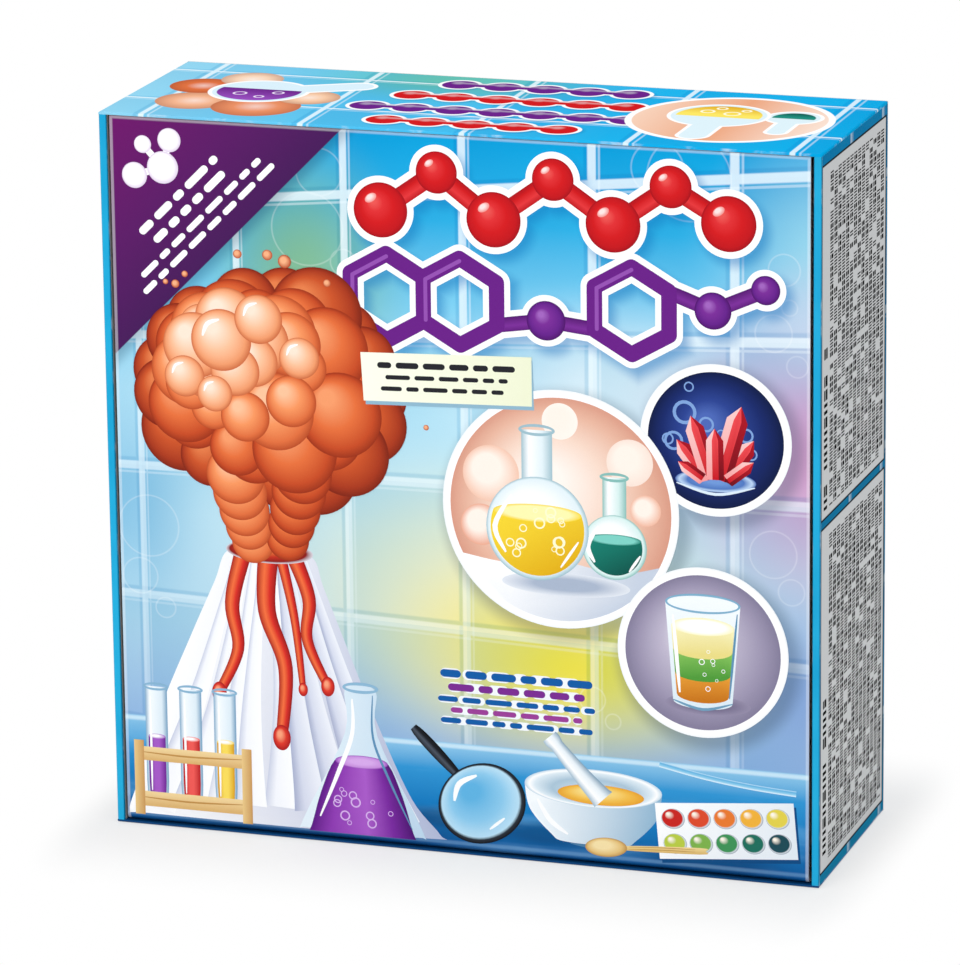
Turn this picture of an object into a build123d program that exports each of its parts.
from build123d import *
import os

# A chemistry set in its upright carton. The carton is a roll-end tuck case of thin corrugated board:
# its large front panel is the lid, creased to the top panel and closed by a tuck flap at the bottom.
# Millimetres, +Z up, front (the lid) towards -Y, origin at the middle of the footprint.

# ------------------------------------------------------------------ carton, driving sizes
case_width = 280.0  # outside, along x
case_height = 280.0  # outside, along z
case_depth = 96.0  # outside, along y
board = 1.0  # thickness of the corrugated board
crease_radius = 0.6  # outside rounding of a creased edge
lid_side_gap = 1.2  # between the lid and the rolled rim on each side
lid_setback = 0.4  # the lid's face lies this far behind the front of the rims
crease_clearance = 0.3  # between a folding piece and the panel it meets
lid_fold_radius = 2.6  # outside radius where the lid turns into its tuck flap
flap_length = 25.0
flap_tilt = 6.0  # degrees by which the tucked flap leans up
flap_inset = 3.0  # the flap is narrower than the lid by this on each side
flap_corner = 12.0  # rounding of the flap's free corners
tuck_clearance = 2.1  # from the flap's free edge to the tray
corner_flap_length = 70.0
corner_flap_chamfer = 9.0
lock_tab_width = 36.0
lock_tab_clearance = 0.15  # around a lock tab in its slot

# ------------------------------------------------------------------ tray, driving sizes
tray_wall = 1.0  # thermoformed sheet
tray_clearance = 0.3  # between the tray and the carton
pocket_corner = 4.0
seat = 0.3  # between a stored piece and the pocket wall it rests on
finger_room = 2.0  # free space on the other sides of a pocket

# ------------------------------------------------------------------ contents, driving sizes
goggles_width = 150.0
goggles_height = 72.0
goggles_depth = 44.0
goggles_corner = 26.0
goggles_wall = 2.4
goggles_face_radius = 170.0  # bow of the lens across the face
goggles_proud = 21.0  # how far the goggles stand out of the tray
nose_radius = 20.0
nose_drop = 6.0  # centre of the nose arch below the frame's lower edge
lens_thickness = 1.8
lens_setback = 2.0  # from the frame's front edge to the lens
lens_clearance = 0.2
strap_thickness = 1.8
strap_width = 20.0
strap_reach = 8.0  # how far the strap runs forward along the frame's sides
strap_lug = 7.0  # length of the lug that holds each strap end

dish_radius = 29.0
dish_height = 12.0
dish_wall = 1.5
dish_lid_height = 8.0
dish_lid_clearance = 0.4
dish_sink = 6.0  # how deep the dish sits in its pocket

beaker_top_radius = 28.5
beaker_base_radius = 23.0
beaker_height = 76.0
beaker_wall = 1.6
beaker_floor = 2.2
beaker_lip = 2.0
beaker_proud = 21.0

tube_radius = 8.0
tube_wall = 1.2
tube_length = 108.0
tube_proud = 6.0
stopper_head_radius = 9.6
stopper_head_height = 8.0
stopper_plug_length = 10.0
stopper_clearance = 0.15
stopper_chamfer = 1.2

barrel_radius = 8.0
barrel_wall = 1.1
barrel_length = 72.0
nozzle_radius = 2.3
nozzle_bore = 1.1
nozzle_length = 9.0
finger_rest_width = 34.0
finger_rest_depth = 18.0
finger_rest_thickness = 2.5
seal_height = 7.0
seal_clearance = 0.2
seal_start = 2.0  # seal above the barrel's floor when pushed in
rod_web = 1.6
rod_clearance = 1.2
rod_stand_out = 6.0  # rod showing above the finger rest when pushed in
thumb_disc_radius = 9.0
thumb_disc_thickness = 2.0
plunger_travel = 42.0

pipette_tip_radius = 1.7
pipette_stem_radius = 2.8
pipette_bulb_radius = 6.4
pipette_wall = 0.8
pipette_stem_length = 92.0
pipette_shoulder = 10.0
pipette_bulb_length = 36.0

tweezer_length = 120.0
tweezer_thickness = 1.8
tweezer_depth = 8.0
tweezer_spread = 9.0  # half of the width at the finger grips
tweezer_tip = 6.4  # half of the gap between the open tips
tweezer_tail_length = 9.0

spatula_length = 138.0
spatula_width = 10.0
spatula_thickness = 1.8

card_width = 70.0
card_height = 44.0
card_thickness = 0.8
card_corner = 2.0
strip_length = 62.0
strip_width = 7.0
strip_thickness = 0.5
strip_count = 5
strips_gap = 3.2  # tray between the strips' recess and the beaker's and the card's

booklet_width = 200.0
booklet_headroom = 25.1  # free height over the booklet, inside the tray
booklet_pages_thickness = 2.4
booklet_cover_thickness = 0.4

# ------------------------------------------------------------------ planes worked out from the sizes
half_width = case_width / 2
front = -case_depth / 2
back = case_depth / 2
side_wall = 3 * board
fold_height = board + crease_clearance  # underside of the lid's lower fold
lid_top = case_height - board - crease_clearance
lid_half_width = half_width - side_wall - lid_side_gap
lid_face = front + lid_setback
flap_root = lid_face + lid_fold_radius + crease_clearance
tray_front = flap_root + flap_length + tuck_clearance
well_front = tray_front + tray_wall  # back of the tray's face sheet
tray_back = back - board - tray_clearance
tray_half_width = half_width - side_wall - tray_clearance
tray_bottom = board + tray_clearance
tray_top = case_height - board - tray_clearance
beyond = 1.0  # how far a cutting solid runs past the face that it opens

SIDES = {"left": -1, "right": 1}
os.makedirs("parts", exist_ok=True)


# ------------------------------------------------------------------ helpers
def slab(x, y, z):
    """A block between two limits along each axis, given in any order."""
    middle = [(pair[0] + pair[1]) / 2 for pair in (x, y, z)]
    size = [abs(pair[1] - pair[0]) for pair in (x, y, z)]
    return Pos(*middle) * Box(*size)


def facing_block(width, height, corner, center, y):
    """A block with rounded upright edges as seen from the front, between two y limits."""
    plane = Plane(origin=(center[0], y[0], center[1]), x_dir=(1, 0, 0), z_dir=(0, 1, 0))
    return extrude(plane * RectangleRounded(width, height, corner), amount=y[1] - y[0])


def turned(points):
    """A solid turned about the z axis from (radius, height) points."""
    return revolve(make_face(Plane.XZ * Polyline(*points, close=True)), Axis.Z)


def round_ended(radius, length):
    """An upright rod whose lower end is a half ball, standing on z = 0."""
    straight = length - radius
    return Pos(0, 0, radius) * Sphere(radius) + Pos(0, 0, radius + straight / 2) * Cylinder(radius, straight)


def wall_span(side, start, end):
    """x limits of a layer of a side wall, counted in from the carton's outside."""
    return (side * (half_width - start), side * (half_width - end))


def write(name, shape):
    export_step(shape, f"parts/{name}.step")


# ------------------------------------------------------------------ carton
panel_y = (front, back - board)
wall_y = (front + board, back - board)
wall_z = (board, case_height - board)
tab_heights = (case_height / 4, 3 * case_height / 4)


def back_panel():
    panel = slab((-half_width, half_width), (back - board, back), (0, case_height))
    slot_width = board + 2 * lock_tab_clearance
    slot_height = lock_tab_width + 2 * lock_tab_clearance
    for side in SIDES.values():
        for height in tab_heights:
            middle = side * (half_width - 2.5 * board)
            panel -= Pos(middle, back - board / 2, height) * Box(slot_width, 2 * board, slot_height)
    outer = [edge for edge in panel.edges().group_by(Axis.Y)[-1] if edge.length > 2 * lock_tab_width]
    return fillet(outer, crease_radius)


def level_panel(outer_z, inner_z):
    """The top or bottom panel, rounded where its outer face turns down the sides and the front."""
    panel = slab((-half_width, half_width), panel_y, (outer_z, inner_z))
    outer = panel.edges().group_by(Axis.Z)[-1 if outer_z > inner_z else 0]
    return fillet(outer.sort_by(Axis.Y)[:-1], crease_radius)


def outer_wall(side):
    return slab(wall_span(side, 0, board), wall_y, wall_z)


def inner_wall(side):
    """The rolled-in inner layer, with two tabs that lock into the back panel."""
    x = wall_span(side, 2 * board, 3 * board)
    wall = slab(x, wall_y, wall_z)
    for height in tab_heights:
        wall += slab(x, (back - board, back), (height - lock_tab_width / 2, height + lock_tab_width / 2))
    return wall


def wall_rim(side):
    """The narrow front strip between the two creases of the rolled wall."""
    rim = slab(wall_span(side, 0, side_wall), (front, front + board), wall_z)
    return fillet(rim.edges().filter_by(Axis.Z).group_by(Axis.Y)[0], crease_radius)


def corner_flap(side, root_z, free_z):
    """The dust flap of the top or bottom panel, held inside the rolled wall."""
    flap = slab(wall_span(side, board, 2 * board), wall_y, (root_z, free_z))
    free_corners = flap.edges().filter_by(Axis.X).group_by(Axis.Z)[-1 if free_z > root_z else 0]
    return chamfer(free_corners, corner_flap_chamfer)


def lid_panel():
    """The front panel, with the rounded fold at its foot that leads into the tuck flap."""
    fold_center = (lid_face + lid_fold_radius, fold_height + lid_fold_radius)
    straight = lid_top - fold_center[1]
    panel = Pos(lid_face + board / 2, fold_center[1] + straight / 2) * Rectangle(board, straight)
    top_corner = panel.vertices().sort_by(Axis.Y)[-2:].sort_by(Axis.X)[0]
    panel = fillet(top_corner, crease_radius)
    ring = Circle(lid_fold_radius) - Circle(lid_fold_radius - board)
    quadrant = Pos(-lid_fold_radius / 2, -lid_fold_radius / 2) * Rectangle(lid_fold_radius, lid_fold_radius)
    fold = Pos(*fold_center) * (ring & quadrant)
    return extrude(Plane.YZ * (panel + fold), amount=lid_half_width, both=True)


def lid_tuck_flap():
    half = lid_half_width - flap_inset
    outline = Pos(0, flap_length / 2) * Rectangle(2 * half, flap_length)
    outline = fillet(outline.vertices().sort_by(Axis.Y)[-2:], flap_corner)
    return Pos(0, flap_root, fold_height) * Rot(X=flap_tilt) * extrude(outline, amount=board)


write("back_panel", back_panel())
write("top_panel", level_panel(case_height, case_height - board))
write("bottom_panel", level_panel(0, board))
for name, side in SIDES.items():
    write(f"{name}_outer_wall", outer_wall(side))
    write(f"{name}_inner_wall", inner_wall(side))
    write(f"{name}_wall_rim", wall_rim(side))
    write(f"top_{name}_corner_flap", corner_flap(side, wall_z[1], wall_z[1] - corner_flap_length))
    write(f"bottom_{name}_corner_flap", corner_flap(side, wall_z[0], wall_z[0] + corner_flap_length))
write("lid_panel", lid_panel())
write("lid_tuck_flap", lid_tuck_flap())

# ------------------------------------------------------------------ where each piece lies in the tray
syringe_length = (nozzle_length + barrel_length + finger_rest_thickness + rod_stand_out
                  + thumb_disc_thickness)
pipette_length = pipette_stem_length + pipette_shoulder + pipette_bulb_length
stopper_top = tube_length + stopper_head_height
beaker_rim_radius = beaker_top_radius + beaker_lip
strap_half_span = goggles_width / 2 + seat + strap_thickness
dish_lid_radius = dish_radius + dish_lid_clearance + dish_wall

# Lower row, left to right: width of each pocket.
lower_widths = {
    "tube_left": 2 * (stopper_head_radius + finger_room),
    "tube_right": 2 * (stopper_head_radius + finger_room),
    "beaker": max(2 * (beaker_rim_radius + finger_room), card_width + 2 * finger_room),
    "syringe": finger_rest_width + 2 * finger_room,
    "pipette": 2 * (pipette_bulb_radius + finger_room),
    "tweezers": 2 * (tweezer_spread + tweezer_thickness + finger_room),
    "spatula": spatula_width + 2 * finger_room,
}
upper_widths = {
    "goggles": 2 * (strap_half_span + finger_room),
    "dish": 2 * (dish_lid_radius + finger_room),
}
strips_height = seat + strip_width + finger_room
beaker_height_taken = seat + beaker_height + finger_room
card_height_taken = seat + card_height + finger_room
lower_height = max(seat + syringe_length + plunger_travel + finger_room,
                   seat + spatula_length + finger_room,
                   seat + pipette_length + finger_room,
                   beaker_height_taken + 2 * strips_gap + strips_height + card_height_taken)
upper_height = seat + goggles_height + finger_room


def spread(widths, free_from, free_to):
    """Centres of blocks of the given widths, with the same gap beside each."""
    gap = (free_to - free_from - sum(widths.values())) / (len(widths) + 1)
    centers, edge = {}, free_from
    for name, width in widths.items():
        centers[name] = edge + gap + width / 2
        edge += gap + width
    return centers


column = spread(lower_widths, -tray_half_width, tray_half_width)
column.update(spread(upper_widths, -tray_half_width, tray_half_width))
row = spread({"lower": lower_height, "upper": upper_height}, tray_bottom, tray_top)
lower_floor = row["lower"] - lower_height / 2  # lower wall of the lower row's pockets
upper_floor = row["upper"] - upper_height / 2

tube_axis_y = tray_front + tube_radius - tube_proud
syringe_axis_y = tray_front + barrel_radius - tube_proud
pipette_axis_y = tray_front + pipette_bulb_radius - tube_proud
beaker_axis_y = tray_front + beaker_rim_radius - beaker_proud
goggles_front = tray_front - goggles_proud
goggles_back = goggles_front + goggles_depth
goggles_middle = upper_floor + seat + goggles_height / 2
strap_back = goggles_back + seat + strap_thickness
dish_back = tray_front + dish_sink
dish_middle = upper_floor + upper_height / 2
tweezer_back = tray_front + tweezer_depth / 2
spatula_back = tray_front + spatula_thickness
strips_back = tray_front + strip_count * strip_thickness
card_back = tray_front + card_thickness

# Depth of each pocket's back wall, and its height above the row's floor.
pockets = {
    "tube_left": (tube_axis_y + stopper_head_radius, seat + stopper_top + finger_room),
    "tube_right": (tube_axis_y + stopper_head_radius, seat + stopper_top + finger_room),
    "beaker": (beaker_axis_y + beaker_rim_radius, beaker_height_taken),
    "syringe": (syringe_axis_y + finger_rest_depth / 2, lower_height),
    "pipette": (pipette_axis_y + pipette_bulb_radius, seat + pipette_length + finger_room),
    "tweezers": (tweezer_back, seat + tweezer_length + tweezer_tail_length + finger_room),
    "spatula": (spatula_back, seat + spatula_length + finger_room),
}
strips_floor = lower_floor + beaker_height_taken + strips_gap
card_floor = strips_floor + strips_height + strips_gap


# ------------------------------------------------------------------ tray
def well_sizes():
    """Width, height, corner, centre and depth plane of the hollow of each well, by name."""
    sizes = {}
    for name, (depth_at, height) in pockets.items():
        center = (column[name], lower_floor + height / 2)
        sizes[f"{name}_well"] = (lower_widths[name], height, pocket_corner, center, depth_at + seat)
    sizes["goggles_well"] = (upper_widths["goggles"], upper_height, goggles_corner / 2,
                             (column["goggles"], upper_floor + upper_height / 2), strap_back + seat)
    dish_span = 2 * (dish_lid_radius + seat)
    sizes["dish_well"] = (dish_span, dish_span, dish_lid_radius, (column["dish"], dish_middle),
                          dish_back + seat)
    sizes["card_recess"] = (card_width + 2 * seat, card_height + 2 * seat, card_corner,
                            (column["beaker"], card_floor + seat + card_height / 2), card_back + seat)
    sizes["strips_recess"] = (strip_length + finger_room, strips_height, card_corner,
                              (column["beaker"], strips_floor + strips_height / 2), strips_back + seat)
    return sizes


wells = well_sizes()
tray_x = (-tray_half_width, tray_half_width)


def tray_face(low, high):
    """The tray's face sheet between two heights, with a window over each well."""
    face = slab(tray_x, (tray_front, well_front), (low, high))
    for width, height, corner, center, _ in wells.values():
        face -= facing_block(width, height, corner, center, (tray_front - beyond, well_front + beyond))
    return face


def tray_well(width, height, corner, center, depth_at):
    """The formed walls and back of one well, behind the face sheet."""
    outer = facing_block(width + 2 * tray_wall, height + 2 * tray_wall, corner + tray_wall, center,
                         (well_front, depth_at + tray_wall))
    return outer - facing_block(width, height, corner, center, (well_front - beyond, depth_at))


face_split = (lower_floor + lower_height + upper_floor) / 2
write("tray_lower_face", tray_face(tray_bottom, face_split))
write("tray_upper_face", tray_face(face_split, tray_top))
skirt_y = (well_front, tray_back)
for name, side in SIDES.items():
    span = (side * tray_half_width, side * (tray_half_width - tray_wall))
    write(f"tray_{name}_skirt", slab(span, skirt_y, (tray_bottom, tray_top)))
skirt_x = (tray_x[0] + tray_wall, tray_x[1] - tray_wall)
write("tray_top_skirt", slab(skirt_x, skirt_y, (tray_top - tray_wall, tray_top)))
write("tray_bottom_skirt", slab(skirt_x, skirt_y, (tray_bottom, tray_bottom + tray_wall)))
for name, sizes in wells.items():
    write(name, tray_well(*sizes))


# ------------------------------------------------------------------ goggles
def goggles_outline(inset):
    """Front view of the goggles, with the arch for the nose, drawn about their middle."""
    outline = RectangleRounded(goggles_width - 2 * inset, goggles_height - 2 * inset, goggles_corner - inset)
    return outline - Pos(0, goggles_height / 2 + nose_drop) * Circle(nose_radius + inset)


def goggles_block(inset, start, end):
    """The goggles' outline carried from one y to another; the plane's y axis points down."""
    plane = Plane(origin=(column["goggles"], start, goggles_middle), x_dir=(1, 0, 0), z_dir=(0, 1, 0))
    return extrude(plane * goggles_outline(inset), amount=end - start)


def face_cylinder(setback):
    """The bow of the face, set back from the foremost line."""
    radius = goggles_face_radius - setback
    middle = (column["goggles"], goggles_front + goggles_face_radius, goggles_middle)
    return Pos(*middle) * Cylinder(radius, 2 * goggles_height)


def goggles_frame():
    shell = goggles_block(0, goggles_front - beyond, goggles_back) & face_cylinder(0)
    shell -= goggles_block(goggles_wall, goggles_front - 2 * beyond, goggles_back + beyond)
    lug_y = (goggles_back - strap_reach - seat - strap_lug, goggles_back - strap_reach - seat)
    lug_z = (goggles_middle - strap_width / 2, goggles_middle + strap_width / 2)
    for side in SIDES.values():
        inside = column["goggles"] + side * (goggles_width / 2 - goggles_wall / 2)
        shell += slab((inside, column["goggles"] + side * strap_half_span), lug_y, lug_z)
    return shell


def goggles_lens():
    block = goggles_block(goggles_wall + lens_clearance, goggles_front - beyond, goggles_back)
    return (block & face_cylinder(lens_setback)) - face_cylinder(lens_setback + lens_thickness)


def goggles_strap():
    """The rubber band, folded round behind the frame from lug to lug."""
    x = (column["goggles"] - strap_half_span, column["goggles"] + strap_half_span)
    z = (goggles_middle - strap_width / 2, goggles_middle + strap_width / 2)
    start = goggles_back - strap_reach
    band = slab(x, (start, strap_back), z)
    band = fillet(band.edges().filter_by(Axis.Z).sort_by(Axis.Y)[-2:], 2 * strap_thickness)
    hollow = slab((x[0] + strap_thickness, x[1] - strap_thickness), (start - beyond, goggles_back + seat), z)
    return band - hollow


write("goggles_frame", goggles_frame())
write("goggles_lens", goggles_lens())
write("goggles_strap", goggles_strap())


# ------------------------------------------------------------------ shallow dish with its cover
def on_dish_axis(shape):
    """Turns an upright solid so that its top points to the front, on the dish's axis."""
    return Pos(column["dish"], dish_back, dish_middle) * Rot(X=90) * shape


def dish_base():
    floor = dish_wall
    inner = dish_radius - dish_wall
    return on_dish_axis(turned([(0, 0), (dish_radius, 0), (dish_radius, dish_height), (inner, dish_height),
                                (inner, floor), (0, floor)]))


def dish_cover():
    inner = dish_radius + dish_lid_clearance
    top = dish_height + dish_lid_clearance
    foot = top + dish_wall - dish_lid_height
    return on_dish_axis(turned([(0, top), (inner, top), (inner, foot), (dish_lid_radius, foot),
                                (dish_lid_radius, top + dish_wall), (0, top + dish_wall)]))


write("dish_base", dish_base())
write("dish_cover", dish_cover())


# ------------------------------------------------------------------ beaker, tubes and stoppers
def measuring_beaker():
    inner_base = beaker_base_radius - beaker_wall
    inner_top = beaker_top_radius - beaker_wall
    lip_height = beaker_height - 2 * beaker_lip
    cup = turned([(0, 0), (beaker_base_radius, 0), (beaker_top_radius, lip_height),
                  (beaker_rim_radius, beaker_height - beaker_lip), (beaker_rim_radius, beaker_height),
                  (inner_top, beaker_height), (inner_base, beaker_floor), (0, beaker_floor)])
    return Pos(column["beaker"], beaker_axis_y, lower_floor + seat) * cup


def test_tube(name):
    tube = round_ended(tube_radius, tube_length)
    bore = Pos(0, 0, tube_wall) * round_ended(tube_radius - tube_wall, tube_length)
    return Pos(column[name], tube_axis_y, lower_floor + seat) * (tube - bore)


def tube_stopper(name):
    plug = tube_radius - tube_wall - stopper_clearance
    top = stopper_head_height
    cap = turned([(0, -stopper_plug_length), (plug, -stopper_plug_length), (plug, 0),
                  (stopper_head_radius, 0), (stopper_head_radius, top - stopper_chamfer),
                  (stopper_head_radius - stopper_chamfer, top), (0, top)])
    return Pos(column[name], tube_axis_y, lower_floor + seat + tube_length) * cap


write("measuring_beaker", measuring_beaker())
for name in ("tube_left", "tube_right"):
    write(f"test_{name}", test_tube(name))
write("tube_stoppers", Compound([tube_stopper(name).solid() for name in ("tube_left", "tube_right")]))


# ------------------------------------------------------------------ syringe
barrel_bore = barrel_radius - barrel_wall
barrel_floor = nozzle_length + barrel_wall
rod_start = barrel_floor + seal_start + seal_height
rod_end = nozzle_length + barrel_length + finger_rest_thickness + rod_stand_out
syringe_place = Pos(column["syringe"], syringe_axis_y, lower_floor + seat)


def syringe_barrel():
    top = nozzle_length + barrel_length
    tube = turned([(nozzle_bore, 0), (nozzle_radius, 0), (nozzle_radius, nozzle_length),
                   (barrel_radius, nozzle_length), (barrel_radius, top), (barrel_bore, top),
                   (barrel_bore, barrel_floor), (nozzle_bore, barrel_floor)])
    rest = SlotOverall(finger_rest_width, finger_rest_depth) - Circle(barrel_bore)
    return syringe_place * (tube + Pos(0, 0, top) * extrude(rest, amount=finger_rest_thickness))


def syringe_plunger():
    reach = 2 * (barrel_bore - rod_clearance)
    length = rod_end - rod_start
    middle = Pos(0, 0, rod_start + length / 2)
    rod = middle * Box(reach, rod_web, length) + middle * Box(rod_web, reach, length)
    disc = Pos(0, 0, rod_end + thumb_disc_thickness / 2) * Cylinder(thumb_disc_radius, thumb_disc_thickness)
    return syringe_place * (rod + disc)


def syringe_seal():
    radius = barrel_bore - seal_clearance
    waist = radius - seal_clearance - rod_web / 2
    low = barrel_floor + seal_start
    return syringe_place * turned([(0, low), (radius, low), (radius, low + seal_height / 3),
                                   (waist, low + seal_height / 3), (waist, low + 2 * seal_height / 3),
                                   (radius, low + 2 * seal_height / 3), (radius, low + seal_height),
                                   (0, low + seal_height)])


write("syringe_barrel", syringe_barrel())
write("syringe_plunger", syringe_plunger())
write("syringe_seal", syringe_seal())


# ------------------------------------------------------------------ dropping pipette
def pipette():
    shoulder = pipette_stem_length + pipette_shoulder
    bulb_top = shoulder + pipette_bulb_length
    dome = pipette_bulb_radius / 2
    wall = pipette_wall
    outer = [(pipette_tip_radius, 0), (pipette_stem_radius, pipette_stem_length),
             (pipette_bulb_radius, shoulder), (pipette_bulb_radius, bulb_top - dome),
             (dome, bulb_top), (0, bulb_top)]
    inner = [(0, bulb_top - wall), (dome - wall / 2, bulb_top - wall),
             (pipette_bulb_radius - wall, bulb_top - dome - wall / 2),
             (pipette_bulb_radius - wall, shoulder), (pipette_stem_radius - wall, pipette_stem_length),
             (pipette_tip_radius - wall, 0)]
    return Pos(column["pipette"], pipette_axis_y, lower_floor + seat) * turned(outer + inner)


write("pipette", pipette())

# ------------------------------------------------------------------ tweezers
tweezer_tips = lower_floor + seat
tweezer_root = tweezer_tips + tweezer_length  # where the arms leave the solid tail
tweezer_y = (tweezer_back - tweezer_depth, tweezer_back)
arm_root = tweezer_thickness / 2 + crease_clearance  # inner face of an arm at the tail


def tweezer_arm(side):
    """One springy arm: straight to the finger grip, then bent in to its tip."""
    grip, bend = tweezer_root - tweezer_length / 2, tweezer_tips + tweezer_length / 4
    top = tweezer_root - crease_clearance
    inner = [(arm_root, top), (tweezer_spread, grip), (tweezer_spread, bend), (tweezer_tip, tweezer_tips)]
    thick = tweezer_thickness
    outer = [(tweezer_tip + thick / 2, tweezer_tips), (tweezer_spread + thick, bend),
             (tweezer_spread + thick, grip), (arm_root + thick, top)]
    points = [(column["tweezers"] + side * x, z) for x, z in inner + outer]
    plane = Plane(origin=(0, tweezer_y[0], 0), x_dir=(1, 0, 0), z_dir=(0, -1, 0))
    return extrude(plane * make_face(Polyline(*points, close=True)), amount=-tweezer_depth)


def tweezer_tail():
    half = arm_root + tweezer_thickness
    x = (column["tweezers"] - half, column["tweezers"] + half)
    tail = slab(x, tweezer_y, (tweezer_root, tweezer_root + tweezer_tail_length))
    return fillet(tail.edges().filter_by(Axis.Y).sort_by(Axis.Z)[-2:], half - crease_clearance)


for name, side in SIDES.items():
    write(f"tweezers_{name}_arm", tweezer_arm(side))
write("tweezers_tail", tweezer_tail())


# ------------------------------------------------------------------ flat pieces
def wooden_spatula():
    plane = Plane(origin=(column["spatula"], spatula_back, lower_floor + seat + spatula_length / 2),
                  x_dir=(0, 0, 1), z_dir=(0, -1, 0))
    return extrude(plane * SlotOverall(spatula_length, spatula_width), amount=spatula_thickness)


def colour_card():
    center = (column["beaker"], card_floor + seat + card_height / 2)
    return facing_block(card_width, card_height, card_corner / 2, center, (tray_front, card_back))


def indicator_strips():
    """Paper strips lying on each other in their recess."""
    x = (column["beaker"] - strip_length / 2, column["beaker"] + strip_length / 2)
    z = (strips_floor + seat, strips_floor + seat + strip_width)
    layers = [tray_front + number * strip_thickness for number in range(strip_count)]
    return Compound([slab(x, (low, low + strip_thickness), z).solid() for low in layers])


booklet_back = back - board - tray_clearance
booklet_bottom = tray_bottom + tray_wall + seat
booklet_z = (booklet_bottom, tray_top - tray_wall - booklet_headroom)
cover_front = booklet_back - booklet_pages_thickness - 2 * booklet_cover_thickness
booklet_x = (-booklet_width / 2, booklet_width / 2)


def booklet_pages():
    x = (booklet_x[0] + booklet_cover_thickness, booklet_x[1])
    y = (cover_front + booklet_cover_thickness, booklet_back - booklet_cover_thickness)
    return slab(x, y, booklet_z)


def booklet_cover():
    cover = slab(booklet_x, (cover_front, booklet_back), booklet_z)
    return cover - slab((booklet_x[0] + booklet_cover_thickness, booklet_x[1] + beyond),
                        (cover_front + booklet_cover_thickness, booklet_back - booklet_cover_thickness),
                        booklet_z)


write("wooden_spatula", wooden_spatula())
write("colour_card", colour_card())
write("indicator_strips", indicator_strips())
write("booklet_pages", booklet_pages())
write("booklet_cover", booklet_cover())
